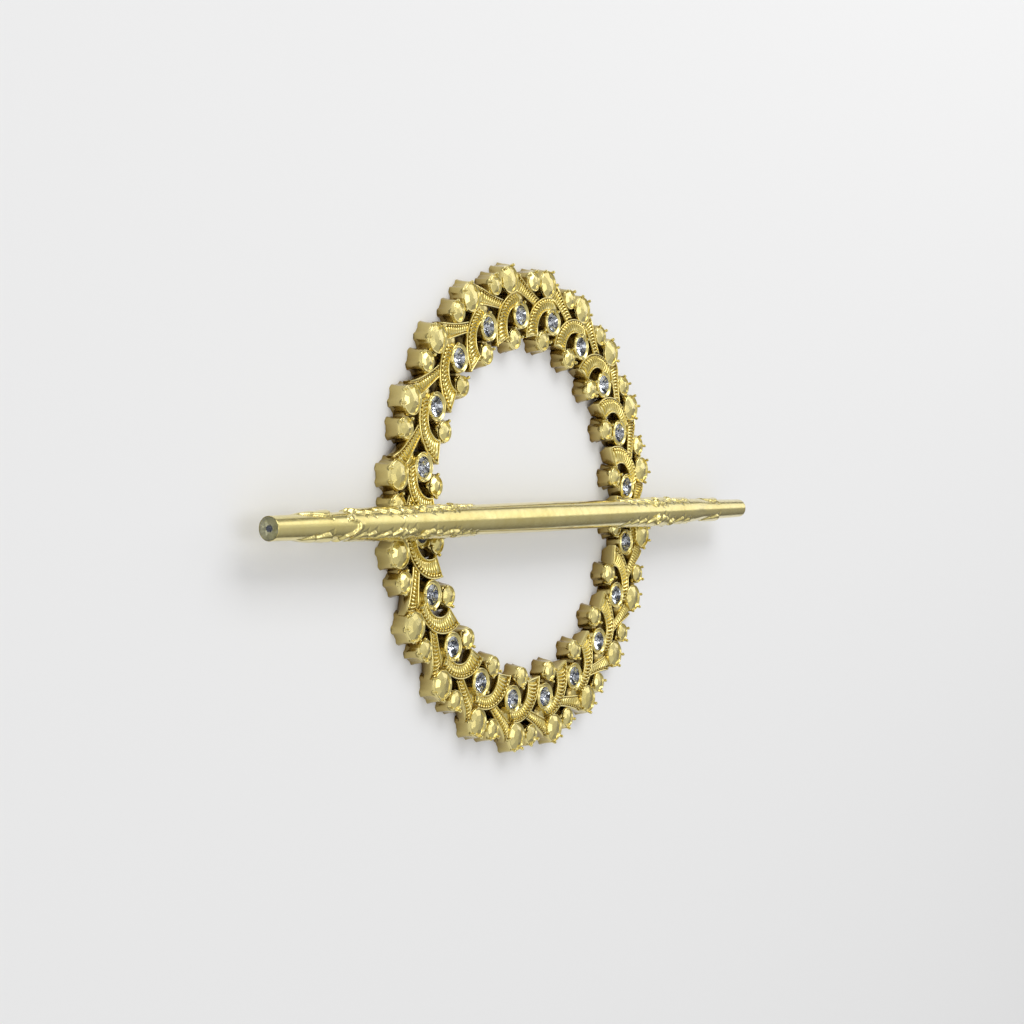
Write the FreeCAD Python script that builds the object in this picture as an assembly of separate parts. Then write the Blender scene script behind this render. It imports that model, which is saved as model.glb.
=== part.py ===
"""Curtain holdback: an openwork ornamental ring with a tapered rod laid across its front.

The holdback lies on its back. The back of the ring is at z = 0, its front faces up (+Z), the
axis of the ring is the Z axis, and the rod lies across the front, almost along +X.
Lengths are in millimetres and angles in degrees.
"""
import FreeCAD, Part
import math, os

from FreeCAD import Vector

os.makedirs("parts", exist_ok=True)

# The ring is one motif, repeated round a circle of stones
motif_count = 20
stone_circle_diameter = 110.0
first_stone_angle = 97.75
ring_depth = 4.6

# Stones set in the ring, with faceted crowns and deep backs that end in a small flat
stone_diameter = 6.0
stone_table_diameter = 3.2
stone_back_diameter = 0.9
stone_crown_height = 0.8
stone_back_depth = 2.3
stone_sides = 8
stone_clearance = 0.05

# Round bezel about each stone
bezel_wall = 1.05
bezel_foot_flare = 0.2
bezel_above_ring = 0.1
stone_girdle_below_bezel = 0.35

# Moulded faceted beads: a big one and a small one outside, and a small one inside
big_bead_diameter = 8.1
small_bead_diameter = 5.9
bead_foot_flare = 0.3
bead_crown_height = 0.6
big_bead_sides = 8
small_bead_sides = 6
big_bead_sink = 0.45
big_bead_bearing = 103.0
outer_bead_gap = 0.85
outer_bead_bearing = 190.0
inner_bead_gap = 0.65
inner_bead_bearing = 240.5

# Ribbed fan, a crescent round each stone
fan_centre_shift = 0.55
fan_centre_drop = 5.8
fan_inner_radius = 7.0
fan_bezel_overlap = 0.05
fan_inner_overlap = 0.95
fan_start_bearing = 191.0
fan_end_bearing = 98.0
fan_floor_below_ring = 0.4
fan_outer_sides = 6
fan_inner_sides = 3
fan_rib_count = 8
fan_rib_height = 0.45
fan_rib_sink = 0.1
fan_rim_width = 0.5

# Leaf stalk, from the big bead to the next fan
leaf_below_ring = 0.15
leaf_upper_bearing = 30.0
leaf_lower_bearing = -34.0
leaf_upper_reach = 0.75
leaf_upper_sag = 0.7
leaf_root_upper_bearing = 108.0
leaf_root_lower_bearing = 124.0
leaf_root_depth = 0.8

# Low webs that join the beads and the bezels
web_height = 3.6
web_width = 2.2
neck_height = 4.0
neck_width = 5.4

# Claw prongs, square posts at the rims of the beads
prong_width = 0.9
prong_above_ring = 0.7
prong_offset = 0.35
big_bead_prong_bearing = 132.0
outer_bead_prong_bearing = 84.0

# Rod: one moulding, thickest in the middle, with a sheath from its lip inwards
rod_length = 245.0
rod_end_diameter = 5.9
rod_neck_diameter = 6.7
rod_sheath_diameter = 7.6
rod_middle_diameter = 8.6
rod_lip_from_end = 27.0
rod_lip_length = 1.6
rod_end_chamfer = 0.25
rod_sides = 16
rod_turn = 2.05
rod_offset = -2.5
rod_rest_gap = 0.05

# Relief on the two sides of the rod
tip_leaf_from_end = 12.5
tip_leaf_length = 11.5
tip_leaf_width = 4.2
tip_leaf_relief = 0.75
side_leaf_count = 3
side_leaf_from_end = 30.5
side_leaf_pitch = 17.0
side_leaf_length = 15.5
side_leaf_width = 6.0
side_leaf_relief = 0.95

# Stones in the cups at the rod's ends
rod_stone_diameter = 4.9
rod_stone_table_diameter = 2.2
rod_stone_back_diameter = 3.8
rod_stone_crown_height = 0.45
rod_stone_back_depth = 0.8
rod_stone_inset = 0.15

# Worked out from the sizes above
motif_pitch = 360.0 / motif_count
stone_circle_radius = stone_circle_diameter / 2
bezel_radius = stone_diameter / 2 + bezel_wall
bezel_top = ring_depth + bezel_above_ring
girdle_height = bezel_top - stone_girdle_below_bezel
seat_height = girdle_height - stone_back_depth
prong_top = ring_depth + prong_above_ring
fan_floor = ring_depth - fan_floor_below_ring
leaf_top = ring_depth - leaf_below_ring
up = Vector(0, 0, 1)


def polar(centre, radius, bearing):
    """A point at a distance and a bearing from a centre, in the XY plane."""
    angle = math.radians(bearing)
    return centre + Vector(radius * math.cos(angle), radius * math.sin(angle), 0)


def turned(point, angle):
    """A point turned about the Z axis."""
    return FreeCAD.Rotation(up, angle).multVec(point)


def at_height(point, z):
    return Vector(point.x, point.y, z)


def face_of(points):
    return Part.Face(Part.makePolygon(points + points[:1]))


def solid_of(faces):
    return Part.Solid(Part.Shell(faces))


def polygon(centre, radius, sides, z):
    """The corners of a regular polygon whose flats lie at the radius."""
    corner = radius / math.cos(math.pi / sides)
    step = 360.0 / sides
    return [at_height(polar(centre, corner, step * (i + 0.5)), z) for i in range(sides)]


def stacked_polygons(centre, sides, levels, apex_height=None):
    """A solid through regular polygons, given as (height, radius), flat or pointed at the top."""
    rings = [polygon(centre, radius, sides, z) for z, radius in levels]
    faces = [face_of(rings[0])]
    for lower, upper in zip(rings, rings[1:]):
        for i in range(sides):
            j = (i + 1) % sides
            faces.append(face_of([lower[i], lower[j], upper[j], upper[i]]))
    if apex_height is None:
        faces.append(face_of(rings[-1]))
    else:
        apex = at_height(centre, apex_height)
        for i in range(sides):
            faces.append(face_of([rings[-1][i], rings[-1][(i + 1) % sides], apex]))
    return solid_of(faces)


def bar(start, end, width, z_low, z_high):
    """A straight upright wall between two points."""
    along = (end - start).normalize()
    side = Vector(-along.y, along.x, 0) * (width / 2)
    corners = [start - side, end - side, end + side, start + side]
    base = face_of([at_height(corner, z_low) for corner in corners])
    return base.extrude(up * (z_high - z_low))


def roof(start, end, width, z_low, z_ridge):
    """A rib with a triangular section, its ridge on the line from start to end."""
    along = end - start
    side = Vector(-along.y, along.x, 0).normalize() * (width / 2)
    section = [at_height(start - side, z_low), at_height(start + side, z_low), at_height(start, z_ridge)]
    return face_of(section).extrude(at_height(along, 0))


def spread(first, last, count):
    """Evenly spaced numbers from first to last."""
    return [first + (last - first) * i / count for i in range(count + 1)]


# Centres of the motif's features, with its stone straight above the ring's axis
stone_centre = Vector(0, stone_circle_radius, 0)
fan_centre = stone_centre + Vector(-fan_centre_shift, -fan_centre_drop, 0)
last_stone_centre = turned(stone_centre, motif_pitch)
fan_outer_radius = (fan_centre - last_stone_centre).Length - bezel_radius + fan_bezel_overlap
fan_inner_drop = fan_inner_radius - bezel_radius + fan_inner_overlap
fan_inner_centre = stone_centre + Vector(0, -fan_inner_drop, 0)
next_fan_centre = turned(fan_centre, -motif_pitch)
big_bead_reach = fan_outer_radius + big_bead_diameter / 2 - big_bead_sink
big_bead_centre = polar(fan_centre, big_bead_reach, big_bead_bearing)
outer_bead_reach = (big_bead_diameter + small_bead_diameter) / 2 + outer_bead_gap
outer_bead_centre = polar(big_bead_centre, outer_bead_reach, outer_bead_bearing)
inner_bead_reach = bezel_radius + small_bead_diameter / 2 + inner_bead_gap
inner_bead_centre = polar(stone_centre, inner_bead_reach, inner_bead_bearing)


def bead(centre, diameter, sides):
    """A drafted many-sided drum with a low pointed crown."""
    radius = diameter / 2
    levels = [(0, radius + bead_foot_flare), (ring_depth, radius)]
    return stacked_polygons(centre, sides, levels, ring_depth + bead_crown_height)


def bezel():
    """The drum about the stone, before its pocket is cut."""
    levels = [(0, bezel_radius + bezel_foot_flare), (bezel_top, bezel_radius)]
    return stacked_polygons(stone_centre, stone_sides, levels)


def stone_pocket():
    """The countersunk pocket that the stone drops into, with the slope of the stone's back."""
    slope = (stone_diameter - stone_back_diameter) / 2 / stone_back_depth
    seat_radius = stone_back_diameter / 2 + stone_clearance
    top_radius = seat_radius + slope * (bezel_top - seat_height)
    levels = [(seat_height, seat_radius), (bezel_top, top_radius)]
    return stacked_polygons(stone_centre, stone_sides, levels)


def inner_limit(bearing):
    """How far from the fan's centre its inner arc is, on one bearing."""
    ray = polar(Vector(0, 0, 0), 1, bearing)
    offset = fan_inner_centre - fan_centre
    along = offset.dot(ray)
    return along + math.sqrt(fan_inner_radius**2 - offset.Length**2 + along**2)


def fan():
    """A crescent between two arcs of short chords, with ribs across its top."""
    outer_bearings = spread(fan_start_bearing, fan_end_bearing, fan_outer_sides)
    inner_bearings = spread(fan_end_bearing, fan_start_bearing, fan_inner_sides)
    outline = [polar(fan_centre, fan_outer_radius, bearing) for bearing in outer_bearings]
    outline += [polar(fan_centre, inner_limit(bearing), bearing) for bearing in inner_bearings]
    body = face_of(outline).extrude(up * fan_floor)
    rib_step = (fan_end_bearing - fan_start_bearing) / fan_rib_count
    rib_width = fan_outer_radius * math.radians(abs(rib_step)) * 0.8
    ribs = []
    for i in range(fan_rib_count):
        bearing = fan_start_bearing + rib_step * (i + 0.5)
        start = polar(fan_centre, inner_limit(bearing) + fan_rim_width, bearing)
        end = polar(fan_centre, fan_outer_radius - fan_rim_width, bearing)
        ribs.append(roof(start, end, rib_width, fan_floor - fan_rib_sink, fan_floor + fan_rib_height))
    return [body] + ribs


def leaf():
    """A tapering stalk from the big bead, rooted in the next fan."""
    bead_radius = big_bead_diameter / 2
    root_radius = fan_outer_radius - leaf_root_depth
    upper_start = polar(big_bead_centre, bead_radius + leaf_upper_reach, leaf_upper_bearing)
    lower_start = polar(big_bead_centre, bead_radius, leaf_lower_bearing)
    upper_end = polar(next_fan_centre, root_radius, leaf_root_upper_bearing)
    lower_end = polar(next_fan_centre, root_radius, leaf_root_lower_bearing)
    along = (upper_end - upper_start).normalize()
    upper_middle = (upper_start + upper_end) * 0.5 + Vector(along.y, -along.x, 0) * leaf_upper_sag
    outline = [big_bead_centre, upper_start, upper_middle, upper_end, lower_end, lower_start]
    return face_of(outline).extrude(up * leaf_top)


def prong(centre, diameter, bearing):
    """A square post at the rim of a bead."""
    reach = diameter / 2 + prong_offset
    start = polar(centre, reach - prong_width, bearing)
    end = polar(centre, reach + prong_width / 2, bearing)
    return bar(start, end, prong_width, 0, prong_top)


def motif():
    """One repeat of the ring: bezel, beads, fan, leaf, webs and prongs, joined."""
    pieces = fan()
    pieces.append(leaf())
    pieces.append(bead(big_bead_centre, big_bead_diameter, big_bead_sides))
    pieces.append(bead(outer_bead_centre, small_bead_diameter, small_bead_sides))
    pieces.append(bead(inner_bead_centre, small_bead_diameter, small_bead_sides))
    pieces.append(bar(outer_bead_centre, big_bead_centre, web_width, 0, web_height))
    pieces.append(bar(inner_bead_centre, stone_centre, web_width, 0, web_height))
    pieces.append(bar(stone_centre, big_bead_centre, neck_width, 0, neck_height))
    pieces.append(prong(big_bead_centre, big_bead_diameter, big_bead_prong_bearing))
    pieces.append(prong(outer_bead_centre, small_bead_diameter, outer_bead_prong_bearing))
    joined = bezel().multiFuse(pieces)
    return joined.cut(stone_pocket()).removeSplitter()


def stone(diameter, table, back, crown_height, back_depth, girdle_z):
    """A cut stone on the Z axis: a sloping back, a sharp girdle, a faceted crown and a table."""
    levels = [
        (girdle_z - back_depth, back / 2),
        (girdle_z, diameter / 2),
        (girdle_z + crown_height, table / 2),
    ]
    return stacked_polygons(Vector(0, 0, 0), stone_sides, levels)


def placed(shape, angle):
    """A copy of a shape, turned about the ring's axis."""
    copy = shape.copy()
    copy.rotate(Vector(0, 0, 0), up, angle)
    return copy


def rod_radius(from_middle):
    """The radius of the sheath at a distance from the rod's middle."""
    lip = rod_length / 2 - rod_lip_from_end
    share = from_middle / lip
    return (rod_middle_diameter + (rod_sheath_diameter - rod_middle_diameter) * share) / 2


def side_leaf(tip_x, butt_x, width, base_y, top_y):
    """A pointed ridge on the rod's +Y side, from its tip to its butt."""
    length = butt_x - tip_x
    half = width / 2
    shoulder_x = tip_x + 0.4 * length
    tip = Vector(tip_x, base_y, 0)
    upper = [Vector(shoulder_x, base_y, half), Vector(butt_x, base_y, 0.6 * half)]
    lower = [Vector(shoulder_x, base_y, -half), Vector(butt_x, base_y, -0.6 * half)]
    ridge = [Vector(tip_x + 0.35 * length, top_y, 0), Vector(butt_x, top_y, 0)]
    faces = [face_of([tip, upper[0], upper[1], lower[1], lower[0]]), face_of([upper[1], lower[1], ridge[1]])]
    for edge in (upper, lower):
        faces.append(face_of([tip, edge[0], ridge[0]]))
        faces.append(face_of([edge[0], edge[1], ridge[1]]))
        faces.append(face_of([edge[0], ridge[1], ridge[0]]))
    return solid_of(faces)


def set_in_end(shape, side):
    """A shape made upright on the Z axis, turned to face out of one end of the rod."""
    shape.rotate(Vector(0, 0, 0), Vector(0, 1, 0), 90 * side)
    shape.translate(Vector(side * (rod_length / 2 - rod_stone_inset), 0, 0))
    return shape


def rod_cup(side):
    """The room for the stone at one end of the rod, open to the end."""
    cup_radius = rod_stone_diameter / 2 + stone_clearance
    levels = [(-rod_stone_back_depth, cup_radius), (rod_stone_inset + stone_clearance, cup_radius)]
    return set_in_end(stacked_polygons(Vector(0, 0, 0), stone_sides, levels), side)


def rod():
    """The whole rod along X, with its axis through the origin."""
    end = rod_length / 2
    end_radius = rod_end_diameter / 2
    neck = end - rod_lip_from_end
    half_profile = [
        (end, end_radius - rod_end_chamfer),
        (end - rod_end_chamfer, end_radius),
        (neck, rod_neck_diameter / 2),
        (neck - rod_lip_length, rod_radius(neck - rod_lip_length)),
        (0, rod_middle_diameter / 2),
    ]
    levels = [(-x, radius) for x, radius in half_profile] + half_profile[-2::-1]
    shaft = stacked_polygons(Vector(0, 0, 0), rod_sides, levels)
    shaft.rotate(Vector(0, 0, 0), Vector(0, 1, 0), 90)
    tip_base = end_radius * 0.6
    tip_top = rod_neck_diameter / 2 + tip_leaf_relief
    leaf_end = end - tip_leaf_from_end
    relief = [side_leaf(leaf_end, leaf_end - tip_leaf_length, tip_leaf_width, tip_base, tip_top)]
    for i in range(side_leaf_count):
        leaf_end = end - side_leaf_from_end - i * side_leaf_pitch
        top = rod_radius(leaf_end - side_leaf_length) + side_leaf_relief
        relief.append(side_leaf(leaf_end, leaf_end - side_leaf_length, side_leaf_width, top / 2, top))
    relief += [leaf.mirror(Vector(0, 0, 0), Vector(1, 0, 0)) for leaf in relief]
    relief += [leaf.mirror(Vector(0, 0, 0), Vector(0, 1, 0)) for leaf in relief]
    return shaft.multiFuse(relief).cut([rod_cup(1), rod_cup(-1)])


def laid_on_ring(shape):
    """A shape made about the rod's axis, turned and lifted to where the rod rests."""
    ring_crossing = stone_circle_radius - bezel_radius
    lift = prong_top + rod_rest_gap + rod_radius(ring_crossing)
    copy = shape.copy()
    copy.rotate(Vector(0, 0, 0), up, rod_turn)
    copy.translate(Vector(0, rod_offset, lift))
    return copy


def rod_stone(side):
    """The stone in the cup at one end of the rod, facing along the rod."""
    cut_stone = stone(
        rod_stone_diameter,
        rod_stone_table_diameter,
        rod_stone_back_diameter,
        rod_stone_crown_height,
        rod_stone_back_depth,
        0,
    )
    return laid_on_ring(set_in_end(cut_stone, side))


# Put the ring together from its motifs
stone_angles = [first_stone_angle - 90 - motif_pitch * i for i in range(motif_count)]
one_motif = motif()
motifs = [placed(one_motif, angle) for angle in stone_angles]
ring = motifs[0].multiFuse(motifs[1:]).removeSplitter()
ring_stone = stone(
    stone_diameter,
    stone_table_diameter,
    stone_back_diameter,
    stone_crown_height,
    stone_back_depth,
    girdle_height,
)
ring_stone.translate(stone_centre)

nodes = {"ring": ring, "rod": laid_on_ring(rod())}
for number, angle in enumerate(stone_angles, start=1):
    nodes["ring_stone_%02d" % number] = placed(ring_stone, angle)
nodes["rod_stone_left"] = rod_stone(-1)
nodes["rod_stone_right"] = rod_stone(1)

for name, shape in nodes.items():
    single = shape.Solids[0] if len(shape.Solids) == 1 else shape
    single.exportStep("parts/%s.step" % name)
    print(name, "solids", len(shape.Solids), "valid", shape.isValid(), "volume", round(shape.Volume, 1))
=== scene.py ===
"""Curtain holdback: a gold plated openwork ring set with cut stones, and the loose rod that goes with it.

The holdback lies on its back on a pale floor. The ring's axis is +Z and the rod runs along +X.
Shapes are worked out in millimetres and turned into metres when a mesh is made.
"""
import math

import bmesh
import bpy
from mathutils import Matrix, Vector


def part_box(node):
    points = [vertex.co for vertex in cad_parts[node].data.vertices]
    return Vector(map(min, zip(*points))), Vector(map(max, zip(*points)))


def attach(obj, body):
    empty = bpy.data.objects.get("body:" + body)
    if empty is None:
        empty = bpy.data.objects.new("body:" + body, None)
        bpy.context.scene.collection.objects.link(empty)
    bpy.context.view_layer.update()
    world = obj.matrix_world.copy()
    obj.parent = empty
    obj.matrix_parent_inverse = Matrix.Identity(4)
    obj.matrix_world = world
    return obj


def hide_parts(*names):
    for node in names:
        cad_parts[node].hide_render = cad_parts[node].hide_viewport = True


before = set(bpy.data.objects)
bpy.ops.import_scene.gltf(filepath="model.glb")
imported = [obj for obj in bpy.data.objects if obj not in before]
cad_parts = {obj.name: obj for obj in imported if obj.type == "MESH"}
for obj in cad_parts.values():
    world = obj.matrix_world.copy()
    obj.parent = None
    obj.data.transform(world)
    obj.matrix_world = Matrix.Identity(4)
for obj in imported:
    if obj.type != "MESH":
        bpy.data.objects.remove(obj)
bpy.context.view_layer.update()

MM = 0.001

# Gold plating
# Every gold surface is the same bright, slightly lemon plating on moulded plastic, with a clear
# lacquer over it. Its colour and gloss drift a little, and the moulding under it isn't quite flat. Shade is
# painted into its colour: brown in the grooves and deep in the openings of the ring, but not round its
# outside.
gold_light = (0.86, 0.745, 0.31, 1)
gold_deep = (0.76, 0.63, 0.21, 1)
gold_roughness = (0.15, 0.27)
gold_bumps = {"Strength": 0.08, "Distance": 0.05 * MM}
lacquer_weight = 0.6
lacquer_roughness = 0.06
gold_drift_size = 9 * MM
gold_cloud_size = 2.2 * MM
gold_grain_size = 0.35 * MM
# Painted shade: its brown colour, the heights below which it darkens the openings and the grooves, and where
# it fades out from the axis.
painted_shade = (0.24, 0.15, 0.03, 1)
painted_shade_heights = (0.2 * MM, 3.9 * MM)
painted_groove_shade_heights = (3.5 * MM, 4.2 * MM)
painted_shade_reach = (76 * MM, 66 * MM)


class Wire:
    """A shader socket that takes part in Python sums, and the tree that it is in."""

    def __init__(self, tree, socket):
        self.tree = tree
        self.socket = socket

    def _math(self, operation, first, second):
        return self.node("ShaderNodeMath", {"operation": operation}, {0: first, 1: second})

    def __add__(self, other):
        return self._math("ADD", self, other)

    def __radd__(self, other):
        return self._math("ADD", other, self)

    def __sub__(self, other):
        return self._math("SUBTRACT", self, other)

    def __rsub__(self, other):
        return self._math("SUBTRACT", other, self)

    def __mul__(self, other):
        return self._math("MULTIPLY", self, other)

    def __rmul__(self, other):
        return self._math("MULTIPLY", other, self)

    def node(self, kind, settings, inputs, output=0):
        """Adds any node, with its settings first and then its sockets, and gives one output."""
        made = self.tree.nodes.new(kind)
        for name, value in settings.items():
            setattr(made, name, value)
        for key, value in inputs.items():
            if isinstance(value, Wire):
                self.tree.links.new(value.socket, made.inputs[key])
            else:
                made.inputs[key].default_value = value
        return Wire(self.tree, made.outputs[output])

    def ramp(self, low, high):
        """This value stretched from low..high to 0..1, and held there."""
        inputs = {"Value": self, "From Min": low, "From Max": high}
        return self.node("ShaderNodeMapRange", {}, inputs)

    def blend(self, first, second):
        """A colour between two, by this value."""
        inputs = {0: self, 6: first, 7: second}
        return self.node("ShaderNodeMix", {"data_type": "RGBA"}, inputs, 2)


def new_material(name):
    """An empty principled material: the material, its shader node and a wire of object coordinates."""
    material = bpy.data.materials.new(name)
    material.use_nodes = True
    tree = material.node_tree
    shader = tree.nodes["Principled BSDF"]
    coordinates = tree.nodes.new("ShaderNodeTexCoord")
    return material, shader, Wire(tree, coordinates.outputs["Object"])


def noise(place, size, detail=2.0):
    """Soft noise whose lumps are about one size, in metres."""
    return place.node("ShaderNodeTexNoise", {}, {"Vector": place, "Scale": 1 / size, "Detail": detail})


def connect(shader, name, wire):
    wire.tree.links.new(wire.socket, shader.inputs[name])


gold, gold_shader, place = new_material("gold_plating")
drift = noise(place, gold_drift_size).ramp(0.35, 0.65)
cloud = noise(place, gold_cloud_size, 3.0).ramp(0.3, 0.7)
grain = noise(place, gold_grain_size, 1.0)
plated = (drift * 0.6 + cloud * 0.4).blend(gold_light, gold_deep)
height = place.node("ShaderNodeSeparateXYZ", {}, {0: place}, 2)
# Painted shade: the colour turns brown low down and in the grooves, and this shade fades out towards the
# ring's outside.
rise = height.ramp(*painted_shade_heights) * 0.45 + height.ramp(*painted_groove_shade_heights) * 0.55
flat_place = place.node("ShaderNodeVectorMath", {"operation": "MULTIPLY"}, {0: place, 1: (1, 1, 0)})
from_axis = flat_place.node("ShaderNodeVectorMath", {"operation": "LENGTH"}, {0: flat_place}, 1)
shade = (1 - rise) * from_axis.ramp(*painted_shade_reach)
connect(gold_shader, "Base Color", shade.blend(plated, painted_shade))
connect(gold_shader, "Roughness", gold_roughness[0] + cloud * (gold_roughness[1] - gold_roughness[0]))
bumps = {"Height": cloud * 0.7 + grain * 0.3, **gold_bumps}
connect(gold_shader, "Normal", place.node("ShaderNodeBump", {}, bumps))
gold_shader.inputs["Metallic"].default_value = 1.0
gold_shader.inputs["Coat Weight"].default_value = lacquer_weight
gold_shader.inputs["Coat Roughness"].default_value = lacquer_roughness

# Stone bezels
# Each stone sits in a round cup of the ring's plastic moulding. A thin bright edge runs round the
# cup, and a dished ring slopes from it down to the stone. Round shells close at the axis on a tiny flat.
motif_count = 20
first_stone_angle = 97.75
stone_circle = 55.0
ring_depth = 4.6
stone_radius = 3.0
stone_girdle = 4.5
bezel_radius = 4.05
axis_flat = 0.02
bezel_profile = (
    (axis_flat, 0), (4.3, 0), (4.1, 4.15), (4.07, 4.55), (3.98, 4.76), (3.86, 4.83), (3.74, 4.77),
    (3.56, 4.5), (3.32, 4.34), (3.1, 4.36), (2.92, 4.58), (2.82, 4.62), (2.8, 4.42), (3.04, 4.3),
    (3.0, 3.4), (0.5, 1.7), (axis_flat, 1.7),
)


class Moulding:
    """The closed shells of one piece while it is put together, in millimetres."""

    def __init__(self):
        self.points = []
        self.faces = []
        self.smooth = []
        self.slots = []

    def add(self, points, faces, smooth=True, slots=None):
        """One more shell, with a material slot for each face, or the first slot for all."""
        start = len(self.points)
        self.points += [Vector(point) for point in points]
        self.faces += [[start + i for i in face] for face in faces]
        self.smooth += [smooth] * len(faces)
        self.slots += slots or [0] * len(faces)

    def rows(self, rows, smooth=True):
        """A skin over rows of points: each row a loop, and the first and last rows filled."""
        across = len(rows[0])
        faces = []
        for i in range(len(rows) - 1):
            low = i * across
            high = low + across
            for j in range(across):
                k = (j + 1) % across
                faces.append([low + j, low + k, high + k, high + j])
        faces.append(list(range(across)))
        faces.append([(len(rows) - 1) * across + j for j in range(across)])
        self.add([point for row in rows for point in row], faces, smooth)

    def turned(self, centre, profile, sides, smooth=True, start=0.0):
        """A closed round shell, from (radius, height) pairs that run from its foot to its top."""
        rows = []
        for radius, height in profile:
            rows.append([polar(centre, radius, start + 360 * i / sides, height) for i in range(sides)])
        self.rows(rows, smooth=smooth)

    def ball(self, centre, radius, sides=8, rings=5):
        """A small round ball."""
        profile = []
        for i in range(rings + 1):
            angle = math.pi * (i + 0.25) / (rings + 0.5)
            profile.append((radius * math.sin(angle), centre[2] - radius * math.cos(angle)))
        self.turned(centre, profile, sides)

    def bar(self, start, end, width, low, high):
        """A straight block between two places, from one height to another."""
        along = Vector((end[0] - start[0], end[1] - start[1], 0)).normalized()
        side = Vector((-along.y, along.x, 0)) * (width / 2)
        corners = [start - side, end - side, end + side, start + side]
        self.rows([[Vector((c.x, c.y, z)) for c in corners] for z in (low, high)], smooth=False)

    def mesh(self, name, crease=32.0):
        """All the shells as one mesh, in metres, with edges over the crease angle kept sharp."""
        made = bpy.data.meshes.new(name)
        made.from_pydata([point * MM for point in self.points], [], self.faces)
        shells = bmesh.new()
        shells.from_mesh(made)
        bmesh.ops.recalc_face_normals(shells, faces=shells.faces)
        shells.to_mesh(made)
        shells.free()
        made.set_sharp_from_angle(angle=math.radians(crease))
        made.polygons.foreach_set("use_smooth", self.smooth)
        made.polygons.foreach_set("material_index", self.slots)
        return made


def polar(centre, radius, bearing, height=0.0):
    """A point at a distance and a bearing in degrees from a centre, at a height."""
    angle = math.radians(bearing)
    return Vector((centre[0] + radius * math.cos(angle), centre[1] + radius * math.sin(angle), height))


cups = Moulding()
stone_centre = Vector((0, stone_circle, 0))
cups.turned(stone_centre, bezel_profile, 40)

# Faceted beads
# Three beads stand beside each stone, one big and one small outside it and one small inside, moulded
# in one with the ring. Each is a drum with a soft ridge under each claw, which spreads towards the
# back, a fine round rim, and flat facets that rise to a small flat at the top.
big_bead_radius = 4.05
small_bead_radius = 2.95
bead_height = 4.6
ridge_half_width = 1.3
web_height = 3.4
web_width = 2.2
neck_width = 4.6

# The drum's wall, as (height, flare, how far a ridge stands out).
drum_profile = (
    (0, 0.3, 0.85), (0.5, 0.26, 0.7), (1.6, 0.18, 0.52), (2.9, 0.1, 0.4), (3.7, 0.06, 0.28),
    (4.1, 0.03, 0.06), (4.26, -0.22, 0),
)

# The rim, as (distance out from the drum's radius, height above the bead's).
bead_rim = ((0, -0.2), (-0.06, 0), (-0.18, 0.1), (-0.32, 0.08), (-0.46, -0.14), (-0.54, -0.26))

# The low round boss that fills the corner between the bezel and the big bead.
boss_shift = Vector((1.2, 5.3, 0))
boss_profile = (
    (axis_flat, 0), (3.0, 0), (2.9, 2.9), (2.5, 3.4), (1.7, 3.75), (0.8, 3.9), (axis_flat, 3.93),
)


def bead(centre, radius, sides, facets, turn, ridges):
    """A drum with its ridges, its rim and its low pointed crown."""
    reach = math.degrees(ridge_half_width / radius)
    rows = []
    for height, flare, ridge in drum_profile:
        row = []
        for i in range(sides):
            bearing = 360 * i / sides
            gap = min(abs((bearing - middle + 180) % 360 - 180) for middle in ridges)
            lift = min(1.0, 1.9 * max(0.0, 1 - gap / reach))
            row.append(polar(centre, radius + flare + ridge * lift, bearing, height))
        rows.append(row)
    cups.rows(rows)
    rim = [(radius + out, bead_height + above) for out, above in bead_rim]
    collar = [(axis_flat, 3.0), (radius, 3.0)] + rim + [(axis_flat, bead_height - 0.3)]
    cups.turned(centre, collar, sides // 2)
    top = bead_height + 0.52
    crown = [(axis_flat, 3.2), (radius - 0.3, 3.2), (radius - 0.3, bead_height - 0.3)]
    crown += [(radius * 0.52, bead_height + 0.3), (radius * 0.1, top), (axis_flat, top)]
    cups.turned(centre, crown, facets, smooth=False, start=turn)


fan_centre = stone_centre + Vector((-0.55, -5.8, 0))
fan_radius = 12.72
big_bead_centre = polar(fan_centre, fan_radius + big_bead_radius - 0.45, 103.0)
outer_bead_centre = polar(big_bead_centre, big_bead_radius + small_bead_radius + 0.85, 190.0)
inner_bead_centre = polar(stone_centre, bezel_radius + small_bead_radius + 0.65, 240.5)
big_bead_claws = (132.0, 75.0, 15.0)
outer_bead_claws = (84.0, 161.0, -8.0)
inner_bead_claws = (179.0, 8.0, 98.0)
bead(big_bead_centre, big_bead_radius, 72, 8, 10.0, big_bead_claws + (190.0,))
bead(outer_bead_centre, small_bead_radius, 56, 6, 0.0, outer_bead_claws + (225.0,))
bead(inner_bead_centre, small_bead_radius, 56, 6, 20.0, inner_bead_claws + (240.0, 305.0))
web_reach = bezel_radius - 0.5
neck_foot = stone_centre + (big_bead_centre - stone_centre).normalized() * web_reach
inner_foot = stone_centre + (inner_bead_centre - stone_centre).normalized() * web_reach
cups.bar(outer_bead_centre, big_bead_centre, web_width, 0, web_height)
cups.bar(inner_bead_centre, inner_foot, web_width, 0, web_height)
cups.bar(neck_foot, big_bead_centre, neck_width, 0, web_height)
cups.turned(stone_centre + boss_shift, boss_profile, 24)

# Claw prongs
# Slim claws run up the sides of the beads and cups, moulded in one with them, and stand over their
# rims. Each ends in a small ball, as if it held a real stone.
bezel_claws = (162.0, 65.0)
bezel_claw_inset = 0.3
claw_ball_radius = 0.52
claw_ball_shift = 0.14
claw_ball_height = 5.0

# The claw's path, as (distance out from the rim, height, half width).
claw_path = ((-0.2, 0.0, 0.5), (-0.14, 3.2, 0.34), (0.06, 4.25, 0.28), (0.16, 4.8, 0.26), (0.1, 5.02, 0.3))


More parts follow.
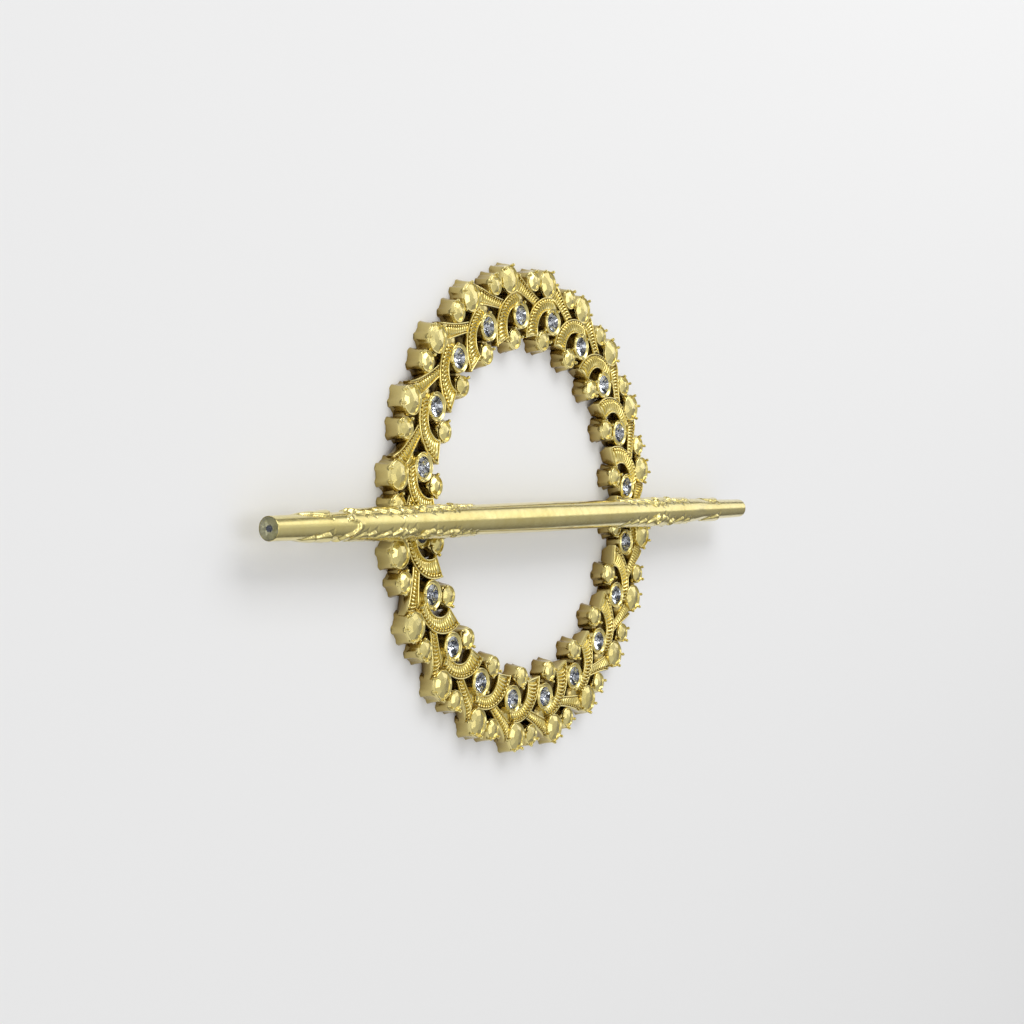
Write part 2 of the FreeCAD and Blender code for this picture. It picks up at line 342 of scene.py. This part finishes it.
def claw(centre, radius, bearing):
    """One claw and its ball, at the rim of a bead or cup."""
    rows = []
    for out, height, width in claw_path:
        middle = polar(centre, radius + out, bearing)
        rows.append([polar(middle, width, 45 * i, height) for i in range(8)])
    cups.rows(rows)
    cups.ball(polar(centre, radius + claw_ball_shift, bearing, claw_ball_height), claw_ball_radius)


for bearing in big_bead_claws:
    claw(big_bead_centre, big_bead_radius, bearing)
for bearing in outer_bead_claws:
    claw(outer_bead_centre, small_bead_radius, bearing)
for bearing in inner_bead_claws:
    claw(inner_bead_centre, small_bead_radius, bearing)
for bearing in bezel_claws:
    claw(stone_centre, bezel_radius - bezel_claw_inset, bearing)

# Ribbed fans
# A crescent of the same moulding wraps round one side of each stone. A fine wire edge runs along both
# its sides, and a round bar across its foot. Between them, a cushion of curved ribs ends in a row of
# small knobs, with a plain facet at its foot.
leafwork = Moulding()
fan_ribs = 15
fan_rib_height = 0.94
fan_rib_bow = 0.65
fan_knob = 0.4
fan_outer_bearings = (191.2, 96.0)
fan_inner_bearings = (181.0, 84.0)
fan_inner_centre = stone_centre + Vector((-1.65, -3.3, 0))
fan_inner_radius = 5.85
fan_edge_height = 4.66
fan_foot_share = 0.05
fan_foot_place = 0.014

# One rib along the strip, as (share of its pitch, share of its height).
rib_steps = ((0.0, 0.0), (0.11, 0.24), (0.26, 0.83), (0.48, 1.0), (0.71, 0.83), (0.88, 0.24))

# The field between the wires, as (share of its width, floor under the wires, share of the rib's height).
rib_across = (
    (0, -0.66, 0), (0.06, -0.64, 0.45), (0.25, -0.62, 0.74), (0.5, -0.6, 0.94), (0.68, -0.61, 1.0),
    (0.8, -0.64, 0.7), (0.86, -0.9, 0.05), (1, -1.1, 0),
)

# Half of the strip's edge, as (distance in from the edge, height), with the round wire on top.
wire_section = ((0.0, -0.3), (0.1, -0.07), (0.28, 0.0), (0.46, -0.07), (0.57, -0.42))
wire_width = 0.62
edge_drop = 2.2
foot_inset = 0.25

# The round bar across the fan's foot, as (distance aside, height).
foot_section = ((-0.27, 3.0), (-0.27, 4.3), (-0.15, 4.58), (0, 4.66), (0.15, 4.58), (0.27, 4.3), (0.27, 3.0))


def ribbed_strip(edges, height, depth, ribs, foot, rib_height, bow, knob):
    """A strip with a wire along each edge, ribs across it and a knob at the outer end of each rib.
    The functions edges and height take a share of the length, and depth scales the field's floor."""
    stations = [(0.0, 0.4), (foot * 0.6, 0.4)]
    pitch = (1 - foot) / ribs
    for i in range(ribs):
        stations += [(foot + pitch * (i + phase), rib) for phase, rib in rib_steps]
    stations.append((1.0, 0.0))
    rows = []
    for share, rib in stations:
        inner, outer = edges(share)
        across = outer - inner
        width = across.length
        ahead = edges(min(1.0, share + 0.01))
        behind = edges(max(0.0, share - 0.01))
        forward = (ahead[0] + ahead[1] - behind[0] - behind[1]).normalized()
        top = height(share)
        near = [(foot_inset, -top, 0.0), (0.0, -edge_drop, 0.0)]
        near += [(at / width, drop, 0.0) for at, drop in wire_section]
        field = []
        for at, floor, share_of_rib in rib_across:
            rise = floor * depth + rib_height * share_of_rib * rib
            inside = wire_width + (width - 2 * wire_width) * at
            field.append((inside / width, rise, 4 * bow * at * (1 - at)))
        far = [(1 - at, drop, shift) for at, drop, shift in reversed(near)]
        row = []
        for at, drop, shift in near + field + far:
            row.append(at_height(inner + across * at + forward * shift, top + drop))
        rows.append(row)
    leafwork.rows(rows)
    for i in range(ribs):
        share = foot + pitch * (i + 0.5)
        inner, outer = edges(share)
        middle = outer + (inner - outer).normalized() * (0.64 + knob)
        leafwork.ball(at_height(middle, height(share) - 0.12), knob, 6, 4)


def at_height(point, height):
    return Vector((point.x, point.y, height))


def on_inner_arc(bearing):
    """Where a ray from the fan's centre meets the fan's inner arc."""
    ray = polar((0, 0), 1, bearing)
    offset = fan_inner_centre - fan_centre
    along = offset.dot(ray)
    reach = along + math.sqrt(max(0.0, fan_inner_radius**2 - offset.length**2 + along**2))
    return fan_centre + ray * reach


def fan_edges(share):
    """The fan's inner and outer edge points, at a share of the way from its foot to its top."""
    inner = fan_inner_bearings[0] + (fan_inner_bearings[1] - fan_inner_bearings[0]) * share
    outer = fan_outer_bearings[0] + (fan_outer_bearings[1] - fan_outer_bearings[0]) * share
    return on_inner_arc(inner), polar(fan_centre, fan_radius, outer)


def fan_height(share):
    return fan_edge_height


ribbed_strip(fan_edges, fan_height, 1.0, fan_ribs, fan_foot_share, fan_rib_height, fan_rib_bow, fan_knob)
foot_ends = fan_edges(fan_foot_place)
foot_along = foot_ends[1] - foot_ends[0]
foot_side = Vector((-foot_along.y, foot_along.x, 0)).normalized()
foot_rows = []
for end in foot_ends:
    foot_rows.append([at_height(end + foot_side * aside, high) for aside, high in foot_section])
leafwork.rows(foot_rows)

# Leaf stalks
# A narrow leaf of the same moulding leaves one side of each big bead and runs to the next fan. It
# has the same wire edges, ribs and knobs as the fan, and dips where it meets the bead.
leaf_ribs = 11
leaf_rib_height = 0.86
leaf_rib_bow = -0.3
leaf_knob = 0.24
leaf_depth = 0.95
leaf_foot_share = 0.04
leaf_edge_height = 4.42
leaf_dip = 0.9
leaf_dip_share = 0.3
leaf_upper = ((0.3, 67.4), (5.0, 62.7), (10.5, 59.4))
leaf_lower = ((-1.2, 61.9), (2.3, 60.3), (7.8, 57.4))


def on_curve(points, share):
    """A point of a quadratic curve, which bends towards its middle point."""
    first, middle, last = (Vector((x, y, 0)) for x, y in points)
    return first * (1 - share) ** 2 + middle * 2 * share * (1 - share) + last * share**2


def leaf_edges(share):
    return on_curve(leaf_lower, share), on_curve(leaf_upper, share)


def leaf_height(share):
    """The height of the leaf's edges: low at the bead, and level for the rest of the way."""
    return leaf_edge_height - leaf_dip * max(0.0, 1 - share / leaf_dip_share) ** 2


ribbed_strip(
    leaf_edges, leaf_height, leaf_depth, leaf_ribs, leaf_foot_share, leaf_rib_height, leaf_rib_bow, leaf_knob
)

# The ring
# The whole ring is one plated moulding: the motif, repeated twenty times round the circle of stones.
# A node tree makes the copies, in one mesh for the cups and beads and one for the fans and leaves.


def round_tree(name, material):
    """A geometry node tree that repeats a mesh round +Z, with its count and first angle as inputs."""
    tree = bpy.data.node_groups.new(name, "GeometryNodeTree")
    tree.interface.new_socket("Geometry", in_out="INPUT", socket_type="NodeSocketGeometry")
    count = tree.interface.new_socket("Count", in_out="INPUT", socket_type="NodeSocketInt")
    angle = tree.interface.new_socket("First Angle", in_out="INPUT", socket_type="NodeSocketFloat")
    tree.interface.new_socket("Geometry", in_out="OUTPUT", socket_type="NodeSocketGeometry")
    made = {}
    for key, kind in (
        ("in", "NodeGroupInput"), ("line", "GeometryNodeMeshLine"), ("index", "GeometryNodeInputIndex"),
        ("pitch", "ShaderNodeMath"), ("turn", "ShaderNodeMath"), ("sum", "ShaderNodeMath"),
        ("spin", "ShaderNodeCombineXYZ"), ("copies", "GeometryNodeInstanceOnPoints"),
        ("real", "GeometryNodeRealizeInstances"), ("paint", "GeometryNodeSetMaterial"),
        ("out", "NodeGroupOutput"),
    ):
        made[key] = tree.nodes.new(kind)
    made["pitch"].operation = "DIVIDE"
    made["pitch"].inputs[0].default_value = -2 * math.pi
    made["turn"].operation = "MULTIPLY"
    made["line"].inputs["Offset"].default_value = (0, 0, 0)
    made["paint"].inputs["Material"].default_value = material
    for source, target in (
        (made["in"].outputs["Count"], made["line"].inputs["Count"]),
        (made["in"].outputs["Count"], made["pitch"].inputs[1]),
        (made["pitch"].outputs[0], made["turn"].inputs[0]),
        (made["index"].outputs[0], made["turn"].inputs[1]),
        (made["turn"].outputs[0], made["sum"].inputs[0]),
        (made["in"].outputs["First Angle"], made["sum"].inputs[1]),
        (made["sum"].outputs[0], made["spin"].inputs["Z"]),
        (made["line"].outputs["Mesh"], made["copies"].inputs["Points"]),
        (made["in"].outputs["Geometry"], made["copies"].inputs["Instance"]),
        (made["spin"].outputs[0], made["copies"].inputs["Rotation"]),
        (made["copies"].outputs["Instances"], made["real"].inputs["Geometry"]),
        (made["real"].outputs["Geometry"], made["paint"].inputs["Geometry"]),
        (made["paint"].outputs["Geometry"], made["out"].inputs["Geometry"]),
    ):
        tree.links.new(source, target)
    return tree, count.identifier, angle.identifier


def repeated_round(name, mesh, material):
    """One plain piece from a motif's mesh and the node tree above."""
    piece = bpy.data.objects.new(name, mesh)
    bpy.context.scene.collection.objects.link(piece)
    tree, count_key, angle_key = round_tree(name + "_round", material)
    modifier = piece.modifiers.new("round", "NODES")
    modifier.node_group = tree
    modifier[count_key] = motif_count
    modifier[angle_key] = math.radians(first_stone_angle - 90)
    evaluated = piece.evaluated_get(bpy.context.evaluated_depsgraph_get())
    plain = bpy.data.meshes.new_from_object(evaluated)
    piece.modifiers.remove(modifier)
    piece.data = plain
    return piece


for name, motif in (("ring_cups", cups), ("ring_leafwork", leafwork)):
    piece = repeated_round(name, motif.mesh(name + "_motif"), gold)
    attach(piece, "root")
    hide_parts("ring")

# Ring stones
# Twenty round stones, brilliant cut in clear crystal with a silver foil behind, are glued in the
# cups. Each shows bright facets of the foil, and dark ones where dark reflections are painted onto the foil.
stone_table_radius = 1.6
stone_rise = 0.9
stone_depth = 2.3
stone_foils = ((1, 1, 2, 1), (1, 2, 1, 2))
crystal_tint = (0.93, 0.96, 1.0, 1)
bright_foil_colour = (0.97, 0.985, 1.0, 1)
# Painted reflection: this dark colour on some foil facets stands in for dark surroundings mirrored in the
# stone.
painted_dark_reflection_foil_colour = (0.05, 0.06, 0.09, 1)
foil_crumple_size = 0.5 * MM
foil_crease_tone = 0.86

crystal, crystal_shader, place = new_material("cut_crystal")
crystal_shader.inputs["Base Color"].default_value = crystal_tint
crystal_shader.inputs["Transmission Weight"].default_value = 1.0
crystal_shader.inputs["IOR"].default_value = 1.55
connect(crystal_shader, "Roughness", noise(place, 1.5 * MM).ramp(0.2, 0.8) * 0.02)


def foil(name, colour, metallic):
    """Foil seen through a stone, a little crumpled, so that its tone varies."""
    material, shader, place = new_material(name)
    crumple = noise(place, foil_crumple_size, 3.0).ramp(0.35, 0.65)
    creased = [part * foil_crease_tone for part in colour[:3]] + [1]
    connect(shader, "Base Color", crumple.blend(colour, creased))
    connect(shader, "Roughness", 0.05 + crumple * 0.08)
    shader.inputs["Metallic"].default_value = metallic
    return material


bright_foil = foil("bright_foil", bright_foil_colour, 0.9)
# Painted reflection: the dark foil paints dark reflections onto some of the stone's facets.
painted_dark_reflection_foil = foil("painted_dark_reflection_foil", painted_dark_reflection_foil_colour, 0.9)


def cut_stone(shell, centre, girdle_height, radius, table, rise, depth, foil_order):
    """A round brilliant: cut crown above the girdle, and foiled facets to the culet below it. The
    order gives the foils of the four facets of an even eighth and an odd one, 1 bright and 2 dark, the dark
    foil being a painted dark reflection."""
    sides = 8
    half = 180 / sides
    step = 360 / sides
    high = girdle_height + rise
    middle = (table + radius) * 0.53
    share = (middle * math.cos(math.radians(half)) - table) / (radius - table)
    middle_height = high + (girdle_height - high) * share
    points = [polar(centre, table, step * i, high) for i in range(sides)]
    points += [polar(centre, middle, step * i + half, middle_height) for i in range(sides)]
    points += [polar(centre, radius, half * i, girdle_height) for i in range(2 * sides)]
    points += [polar(centre, radius, half * i, girdle_height - 0.12) for i in range(2 * sides)]
    deep_height = girdle_height - depth * 0.76
    points += [polar(centre, radius * 0.3, step * i + half, deep_height) for i in range(sides)]
    points.append(at_height(Vector((centre[0], centre[1], 0)), girdle_height - depth))
    crown = [list(range(sides))]
    back = []
    foils = []
    culet = len(points) - 1
    for i in range(sides):
        mid = sides + i
        last_mid = sides + (i - 1) % sides
        rim = 2 * sides + 2 * i
        next_rim = 2 * sides + (2 * i + 2) % (2 * sides)
        low = rim + 2 * sides
        next_low = next_rim + 2 * sides
        deep = 6 * sides + i
        last_deep = 6 * sides + (i - 1) % sides
        crown += [[i, (i + 1) % sides, mid], [i, mid, rim, last_mid]]
        crown += [[mid, rim + 1, rim], [mid, next_rim, rim + 1]]
        crown += [[rim, rim + 1, low + 1, low], [rim + 1, next_rim, next_low, low + 1]]
        back += [[low, low + 1, deep], [low + 1, next_low, deep]]
        back += [[low, deep, last_deep], [deep, culet, last_deep]]
        foils += foil_order[i % 2]
    shell.add(points, crown + back, smooth=False, slots=[0] * len(crown) + foils)


stone_motif = Moulding()
cut_stone(
    stone_motif, stone_centre, stone_girdle, stone_radius, stone_table_radius, stone_rise, stone_depth,
    stone_foils,
)
stone_mesh = stone_motif.mesh("ring_stone_cut", crease=1.0)
for material in (crystal, bright_foil, painted_dark_reflection_foil):
    stone_mesh.materials.append(material)
for number in range(motif_count):
    turn = Matrix.Rotation(math.radians(first_stone_angle - 90 - 360 / motif_count * number), 4, "Z")
    cut = stone_mesh.copy()
    cut.transform(turn)
    piece = bpy.data.objects.new("cut_stone_%02d" % (number + 1), cut)
    bpy.context.scene.collection.objects.link(piece)
    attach(piece, "root")
    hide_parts("ring_stone_%02d" % (number + 1))

# The rod
# The rod is one gold plated moulding, thin at its ends. A sheath covers all but the ends, with a wavy
# lip at the left and a soft one at the right. Its front and back are plain, and overlapping leaves and
# curls stand along its two sides.
rod_half_length = 122.5
rod_end_radius = 3.0
rod_neck_radius = 3.4
rod_sheath_radius = 3.8
rod_middle_radius = 4.3
rod_turn = math.radians(2.05)
rod_offset = -2.5
rod_axis_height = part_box("rod")[0].z / MM + rod_middle_radius
cup_radius = 2.9
cup_depth = 0.95
sheath_reach = 91
left_step_width = 0.8
right_step_width = 9.0
left_lip_height = 0.22
left_lip_crest = 1.4
relief_half_width = 6.7
relief_turn = math.radians(8)
relief_places = (37, 113)
fine_step = 0.23
plain_step = 2.0
groove_width = 0.25
groove_depth = 0.14
curl_half_width = 0.45

# Where the sheath's lip runs, as (degrees round from the front to one side, place along the rod).
lip_course = (
    (-90, 98.6), (-68, 98.5), (-45, 97.2), (-25, 94.4), (-8, 93.0), (10, 93.1), (16, 94.6), (22, 96.4),
    (34, 96.4), (50, 94.9), (66, 92.8), (80, 93.8), (90, 94.6),
)


def lip_place(angle):
    """Where the lip runs at an angle from the front. The back half mirrors the front half."""
    degrees = math.degrees(angle) % 360
    if degrees > 270:
        degrees -= 360
    elif degrees > 90:
        degrees = 180 - degrees
    for (first, low), (second, high) in zip(lip_course, lip_course[1:]):
        if degrees <= second:
            share = (degrees - first) / (second - first)
            return low + (high - low) * share * share * (3 - 2 * share)
    return lip_course[-1][1]


# The scales of the side relief, as (start, length, lean towards the front, half width, height).
side_scales = (
    (-113.2, 5.8, 7, 1.4, 0.85), (-110.2, 8.4, 10, 1.7, 1.0), (-94.5, 6.4, 22, 1.4, 0.6),
    (-91.2, 6.8, 25, 1.3, 0.65), (-87.0, 6.0, 15, 1.3, 0.7), (-84.4, 6.4, 23, 1.4, 0.7),
    (-80.6, 7.6, 29, 1.1, 0.85), (-78.6, 7.0, 22, 1.6, 0.85), (-74.6, 6.8, 30, 1.2, 0.8),
    (-72.0, 5.0, 19, 1.5, 0.85), (-67.4, 8.0, 20, 1.4, 0.9), (-62.4, 6.4, 22, 1.3, 0.85),
    (-58.0, 5.6, 20, 1.2, 0.8), (-56.2, 6.0, 26, 1.1, 0.75), (-54.2, 6.0, 26, 1.1, 0.75),
    (-51.0, 4.8, 16, 1.2, 0.75), (-47.4, 4.8, 21, 1.1, 0.6), (-43.6, 4.2, 19, 1.0, 0.5),
    (38.0, 6.0, 21, 1.2, 0.6), (42.0, 6.6, 24, 1.3, 0.7), (46.4, 7.0, 22, 1.5, 0.85),
    (52.2, 7.2, 25, 1.4, 0.95), (54.6, 5.0, 17, 1.4, 0.95), (57.8, 7.6, 31, 1.1, 1.0),
    (60.6, 6.8, 24, 1.6, 1.0), (65.6, 6.0, 22, 1.3, 0.85), (71.0, 7.0, 22, 1.3, 0.75),
    (76.6, 6.0, 20, 1.2, 0.65), (93.6, 5.0, 10, 1.3, 0.75), (96.4, 7.0, 11, 1.7, 0.9),
)
side_lobes = []
for start, length, lean, half_width, top in side_scales:
    for side in (1, -1):
        side_lobes.append((start, 0.2 * side, math.radians(lean * side), length, half_width * 1.15, top))
    side_lobes.append((start + 1.0, 0.0, 0.0, length, 1.1, top * 0.8))
curls = [
    (-73.4, 2.7, 1.0, 1.0), (-63.6, 2.2, 0.9, 1.0), (-50.6, 2.0, 0.8, 0.9), (59.6, 3.2, 1.2, 1.1),
    (69.6, 1.8, 0.8, 0.9),
]
curls += [(place, -base, radius, top) for place, base, radius, top in curls]


def relief_height(x, across, lobes, rings):
    """How far the relief stands out, at a place along the rod and across its side. A fine groove
    is cut round each scale."""
    height = -1.0
    groove = 0.0
    for start, base, lean, length, half_width, top in lobes:
        along = (x - start) * math.cos(lean) + (across - base) * math.sin(lean)
        share = along / length
        if not 0 < share < 1.1:
            continue
        aside = (across - base) * math.cos(lean) - (x - start) * math.sin(lean)
        half = half_width * math.sqrt(share) * math.sqrt(max(0.0, 1 - share**6)) * 1.15
        if 0.3 < share and abs(aside) < half_width * math.sqrt(share) + groove_width:
            groove = -groove_depth
        if abs(aside) < half:
            edge = (aside / half) ** 2
            dish = (0.8 + 0.2 * edge) * math.sqrt(1 - edge**2)
            height = max(height, top * (0.4 + 0.6 * share) * dish)
    for place, base, radius, top in rings:
        gap = abs(math.hypot(x - place, across - base) - radius)
        if gap < curl_half_width:
            height = max(height, top * math.sqrt(1 - (gap / curl_half_width) ** 2))
    return height if height > 0 else groove


def rod_skin(x, angle, lobes, rings):
    """The rod's radius at a place along it and an angle round from its front."""
    distance = abs(x)
    raised = 0.0
    if x < 0:
        past_lip = (lip_place(angle) - distance) / left_step_width
        raised = left_lip_height * math.exp(-((past_lip - left_lip_crest) ** 2))
    else:
        past_lip = (lip_place(-angle) - distance) / right_step_width
    share = max(0.0, min(1.0, past_lip))
    taper = (rod_half_length - distance) / (rod_half_length - sheath_reach)
    outer = rod_end_radius + (rod_neck_radius - rod_end_radius) * taper
    sheath = rod_middle_radius + (rod_sheath_radius - rod_middle_radius) * distance / sheath_reach
    radius = outer + (sheath - outer) * share * share * (3 - 2 * share) + raised
    across = math.asin(math.cos(angle - relief_turn)) * radius
    if abs(across) > relief_half_width or not (lobes or rings):
        return radius
    return radius + relief_height(x, across, lobes, rings)


def rod_row(x):
    """One loop of points round the rod."""
    lobes = [lobe for lobe in side_lobes if lobe[0] - 1.5 < x < lobe[0] + lobe[3] + 1.5]
    rings = [ring for ring in curls if abs(x - ring[0]) < ring[2] + 0.5]
    return [(x, rod_skin(x, angle, lobes, rings), angle) for angle in rod_angles]


rod_angles = []
for i in range(120):
    even = 2 * math.pi * i / 120
    rod_angles.append(even + 0.22 * math.sin(2 * even))
places = [-rod_half_length + 0.3]
while places[-1] < rod_half_length - 0.8:
    distance = abs(places[-1])
    in_relief = relief_places[0] < distance < relief_places[1]
    places.append(places[-1] + (fine_step if in_relief else plain_step))
places[-1] = rod_half_length - 0.3
end_profile = (
    (0.12, rod_end_radius), (0.04, rod_end_radius - 0.02), (0.0, cup_radius + 0.04),
    (0.06, cup_radius), (cup_depth, cup_radius), (cup_depth, 0.02),
)
courses = [rod_row(place) for place in places]
for inset, radius in end_profile:
    courses.insert(0, [(-rod_half_length + inset, radius, angle) for angle in rod_angles])
    courses.append([(rod_half_length - inset, radius, angle) for angle in rod_angles])
rod_shell = Moulding()
rod_shell.rows([[Vector((x, r * math.sin(a), r * math.cos(a))) for x, r, a in row] for row in courses])
rod_middle = Vector((0, rod_offset, rod_axis_height)) * MM
rod_place = Matrix.Translation(rod_middle) @ Matrix.Rotation(rod_turn, 4, "Z")
rod_mesh = rod_shell.mesh("rod_moulding", crease=60.0)
rod_mesh.transform(rod_place)
rod_mesh.materials.append(gold)
rod = bpy.data.objects.new("rod_moulding", rod_mesh)
bpy.context.scene.collection.objects.link(rod)
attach(rod, "root")
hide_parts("rod")

# Rod end stones
# One smaller stone of the same cut is glued in the cup at each end of the rod, facing along it. The
# foil behind it is duller and yellower than that of the ring's stones, with dark reflections painted on some
# facets.
end_stone_radius = 2.86
end_stone_inset = 0.15
end_stone_girdle = 0.1
end_stone_table_radius = 1.3
end_stone_rise = 0.75
end_stone_depth = 0.85
end_stone_foils = ((1, 1, 1, 2), (1, 1, 1, 2))
smoky_foil = foil("smoky_foil", (0.68, 0.64, 0.36, 1), 0.5)
# Painted reflection: this dark foil paints dark reflections onto some facets of the end stones.
smoky_painted_dark_reflection_foil = foil("smoky_painted_dark_reflection_foil", (0.04, 0.05, 0.08, 1), 0.5)
for name, side in (("left", -1), ("right", 1)):
    end_stone = Moulding()
    cut_stone(
        end_stone, Vector((0, 0, 0)), end_stone_girdle, end_stone_radius, end_stone_table_radius,
        end_stone_rise, end_stone_depth, end_stone_foils,
    )
    end_mesh = end_stone.mesh("rod_stone_" + name, crease=1.0)
    outward = Matrix.Rotation(math.radians(90 * side), 4, "Y")
    seat = Vector((side * (rod_half_length - end_stone_inset), 0, 0)) * MM
    end_mesh.transform(rod_place @ Matrix.Translation(seat) @ outward)
    for material in (crystal, smoky_foil, smoky_painted_dark_reflection_foil):
        end_mesh.materials.append(material)
    piece = bpy.data.objects.new("end_stone_" + name, end_mesh)
    bpy.context.scene.collection.objects.link(piece)
    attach(piece, "root")
    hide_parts("rod_stone_" + name)

# Floor, light and camera
# A pale floor, one large soft lamp over the ring's upper side, three weaker ones opposite, behind
# and overhead, and a soft room that is brighter overhead and towards the upper side.
room_dark = (0.04, 0.04, 0.045, 1)
room_bright = (1.0, 1.0, 1.0, 1)
room_strength = 0.79

floor_material, floor_shader, place = new_material("pale_floor")
floor_shader.inputs["Base Color"].default_value = (0.86, 0.86, 0.86, 1)
floor_shader.inputs["Roughness"].default_value = 0.9
floor_mesh = bpy.data.meshes.new("floor")
floor_reach = 30.0
floor_corners = [(x * floor_reach, y * floor_reach, 0) for x, y in ((-1, -1), (1, -1), (1, 1), (-1, 1))]
floor_mesh.from_pydata(floor_corners, [], [(0, 1, 2, 3)])
floor_mesh.materials.append(floor_material)
floor = bpy.data.objects.new("floor", floor_mesh)
bpy.context.scene.collection.objects.link(floor)


def softbox(name, place_at, target, size, power):
    lamp = bpy.data.lights.new(name, "AREA")
    lamp.shape = "RECTANGLE"
    lamp.size, lamp.size_y = size
    lamp.energy = power
    holder = bpy.data.objects.new(name, lamp)
    holder.location = place_at
    holder.rotation_euler = (Vector(target) - Vector(place_at)).to_track_quat("-Z", "Y").to_euler()
    bpy.context.scene.collection.objects.link(holder)


softbox("key_light", (0.1, 0.9, 0.75), (0, 0, 0), (1.1, 0.5), 5.2)
softbox("fill_light", (-0.9, -0.5, 0.5), (0, 0, 0), (0.6, 0.5), 1.0)
softbox("back_light", (1.0, 0.42, 0.5), (0, 0, 0), (0.72, 0.62), 1.2)
softbox("top_light", (-0.05, 0, 1.2), (0, 0, 0), (0.4, 0.9), 1.8)

world = bpy.data.worlds.new("soft_room")
bpy.context.scene.world = world
world.use_nodes = True
world_tree = world.node_tree
sky = Wire(world_tree, world_tree.nodes.new("ShaderNodeTexCoord").outputs["Generated"])
side = sky.node("ShaderNodeSeparateXYZ", {}, {0: sky}, 1)
height = sky.node("ShaderNodeSeparateXYZ", {}, {0: sky}, 2)
brightness = height.ramp(-0.1, 0.9) * 0.88 + side.ramp(-0.04, 0.12) * 0.12
tone = brightness.blend(room_dark, room_bright)
world_tree.links.new(tone.socket, world_tree.nodes["Background"].inputs["Color"])
world_tree.nodes["Background"].inputs["Strength"].default_value = room_strength

camera_data = bpy.data.cameras.new("camera")
camera_data.lens = 67.29
camera_data.sensor_width = 36.0
camera_data.clip_start = 0.01
camera = bpy.data.objects.new("camera", camera_data)
bpy.context.scene.collection.objects.link(camera)
camera_right = Vector((0.5417, 0.0097, 0.8405))
camera_up = Vector((-0.0148, 0.9999, -0.002))
camera_back = Vector((-0.8405, -0.0113, 0.5417))
camera_place = Vector((-463.9, -7.5, 291.8 + ring_depth)) * MM
turn = Matrix((camera_right, camera_up, camera_back)).transposed()
camera.matrix_world = Matrix.Translation(camera_place) @ turn.to_4x4()
bpy.context.scene.camera = camera
bpy.context.scene.view_settings.view_transform = "Standard"
